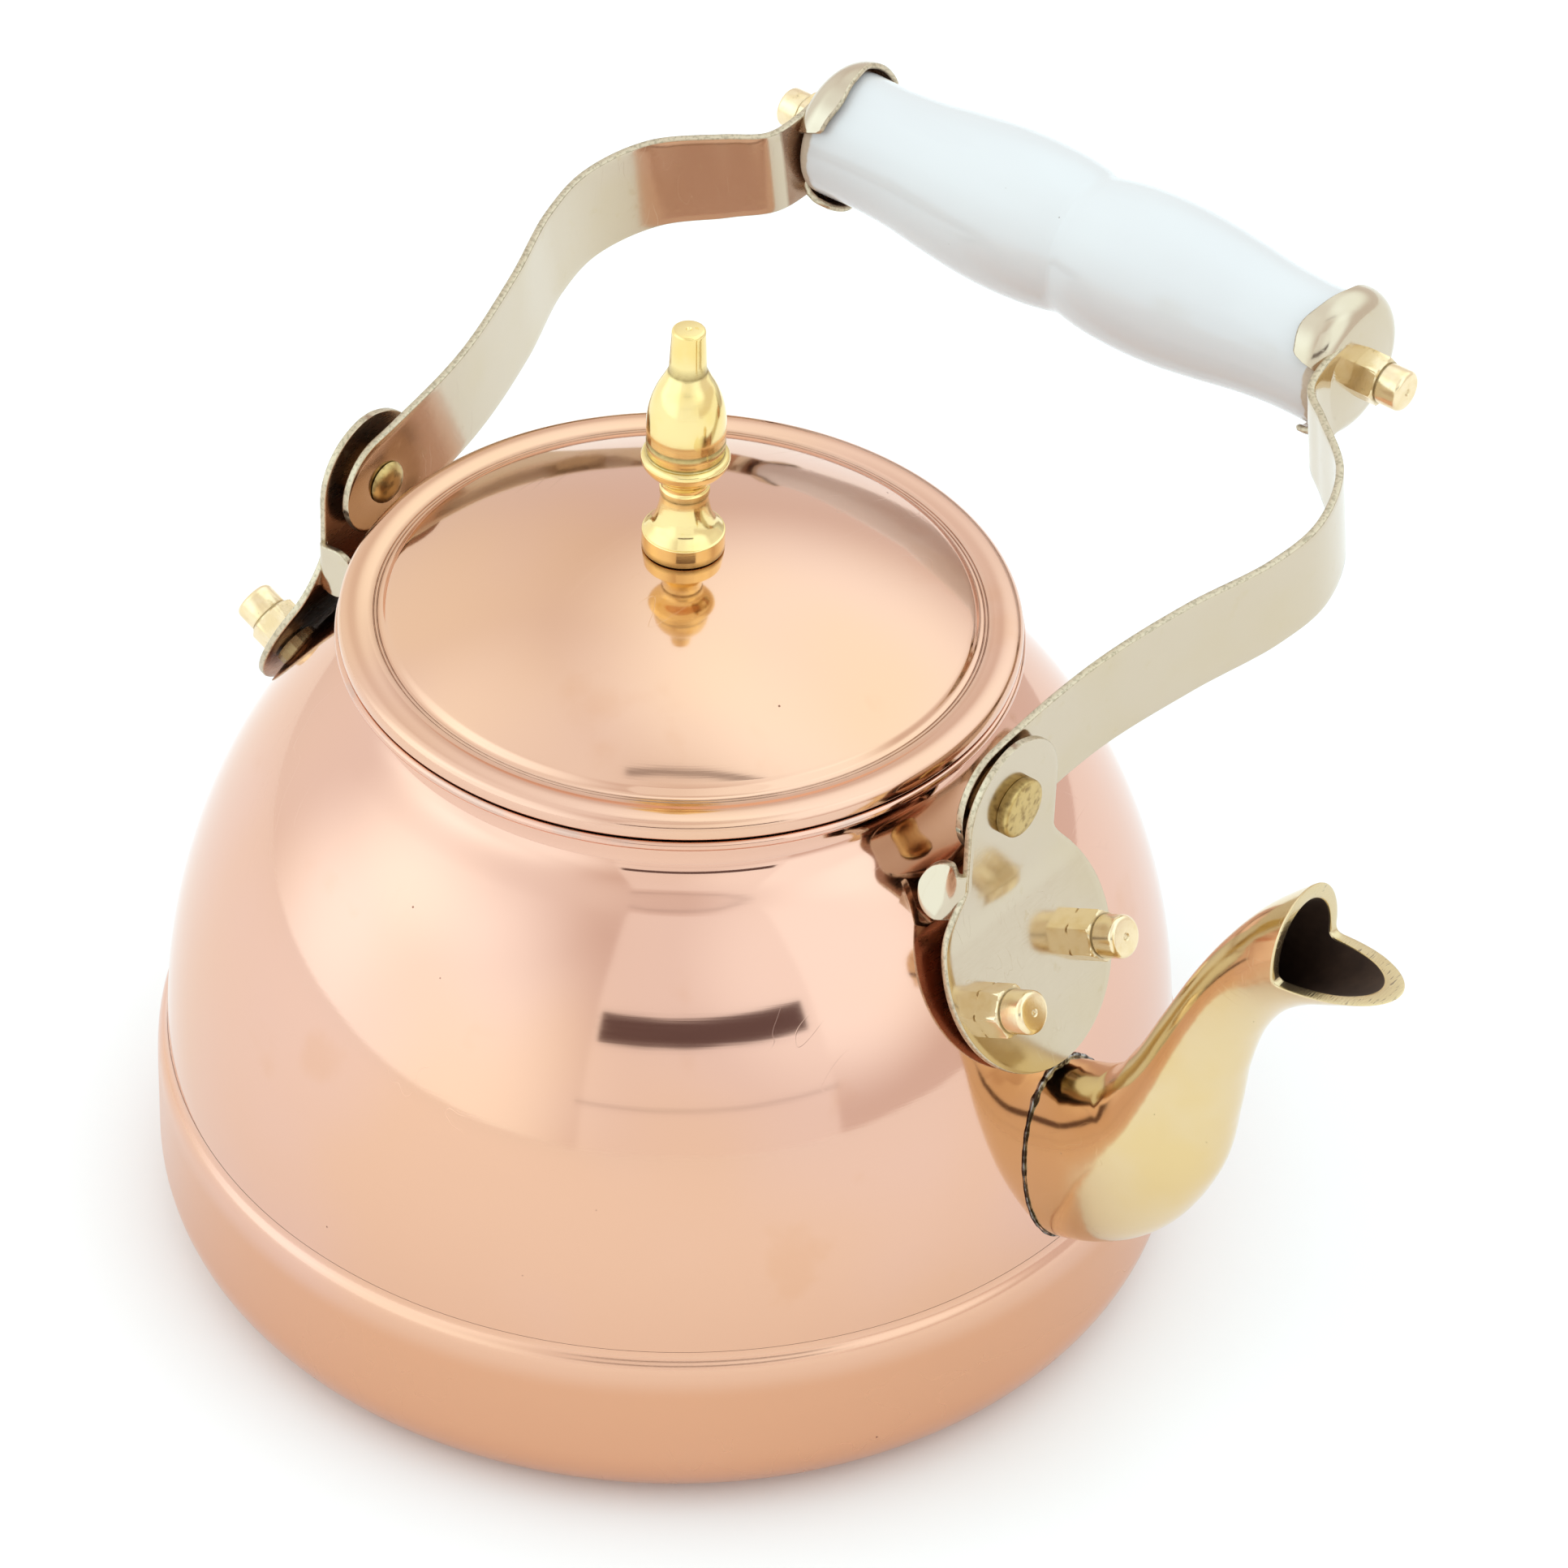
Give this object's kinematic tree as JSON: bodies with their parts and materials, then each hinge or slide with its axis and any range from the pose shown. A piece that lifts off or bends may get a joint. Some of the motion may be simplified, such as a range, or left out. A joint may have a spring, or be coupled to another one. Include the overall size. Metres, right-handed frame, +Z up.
{
  "type": "stovetop kettle",
  "caption": "Round-shouldered kettle with a gooseneck spout, a lift-off lid with an acorn knob, and a folding bail whose grip turns on its rod.",
  "frame": {"origin": "centre of the flat base, on the plane the kettle stands on", "axes": "+Z up along the body's axis, +X towards the spout, +Y towards the side the bail is folded to"},
  "size_m": [0.2421, 0.2234, 0.1859],
  "materials": {
    "copper": "polished copper",
    "knob_brass": "polished yellow brass",
    "cast_brass": "polished cast brass",
    "sheet_brass": "polished pale sheet brass",
    "turned_brass": "turned brass",
    "porcelain": "white glaze",
    "solder": "dull solder"
  },
  "bodies": {
    "kettle_body": {"base_pan": "copper", "body_dome": "copper", "spout": "cast_brass", "spout_solder": "solder", "front_bracket": "sheet_brass", "front_pivot_rivet": "turned_brass", "front_pivot_washer": "turned_brass", "front_bolt_right": "turned_brass", "front_bolt_left": "turned_brass", "front_spacer_right": "turned_brass", "front_spacer_left": "turned_brass", "front_cap_nut_right": "turned_brass", "front_cap_nut_left": "turned_brass", "rear_bracket": "sheet_brass", "rear_pivot_rivet": "turned_brass", "rear_pivot_washer": "turned_brass", "rear_bolt_right": "turned_brass", "rear_bolt_left": "turned_brass", "rear_spacer_right": "turned_brass", "rear_spacer_left": "turned_brass", "rear_cap_nut_right": "turned_brass", "rear_cap_nut_left": "turned_brass"},
    "bail": {"front_strap": "sheet_brass", "rear_strap": "sheet_brass", "front_rod_nut": "turned_brass", "rear_rod_nut": "turned_brass", "tie_rod": "turned_brass"},
    "grip": {"grip": "porcelain"},
    "lid": {"lid_cap": "copper", "lid_skirt": "copper", "knob": "knob_brass", "knob_washer": "turned_brass", "knob_screw": "turned_brass"}
  },
  "joints": [
    {"name": "bail_swing", "type": "hinge", "parent": "kettle_body", "child": "bail", "pos_m": [0, 0, 0.122], "axis": [1, 0, 0], "range_deg": [0, 160]},
    {"name": "grip_turn", "type": "hinge", "parent": "bail", "child": "grip", "pos_m": [0, 0.1164, 0.14253], "axis": [1, 0, 0], "continuous": true},
    {"name": "lid_lift", "type": "slide", "parent": "kettle_body", "child": "lid", "axis": [0, 0, 1], "range_m": [0, 0.03]}
  ]
}
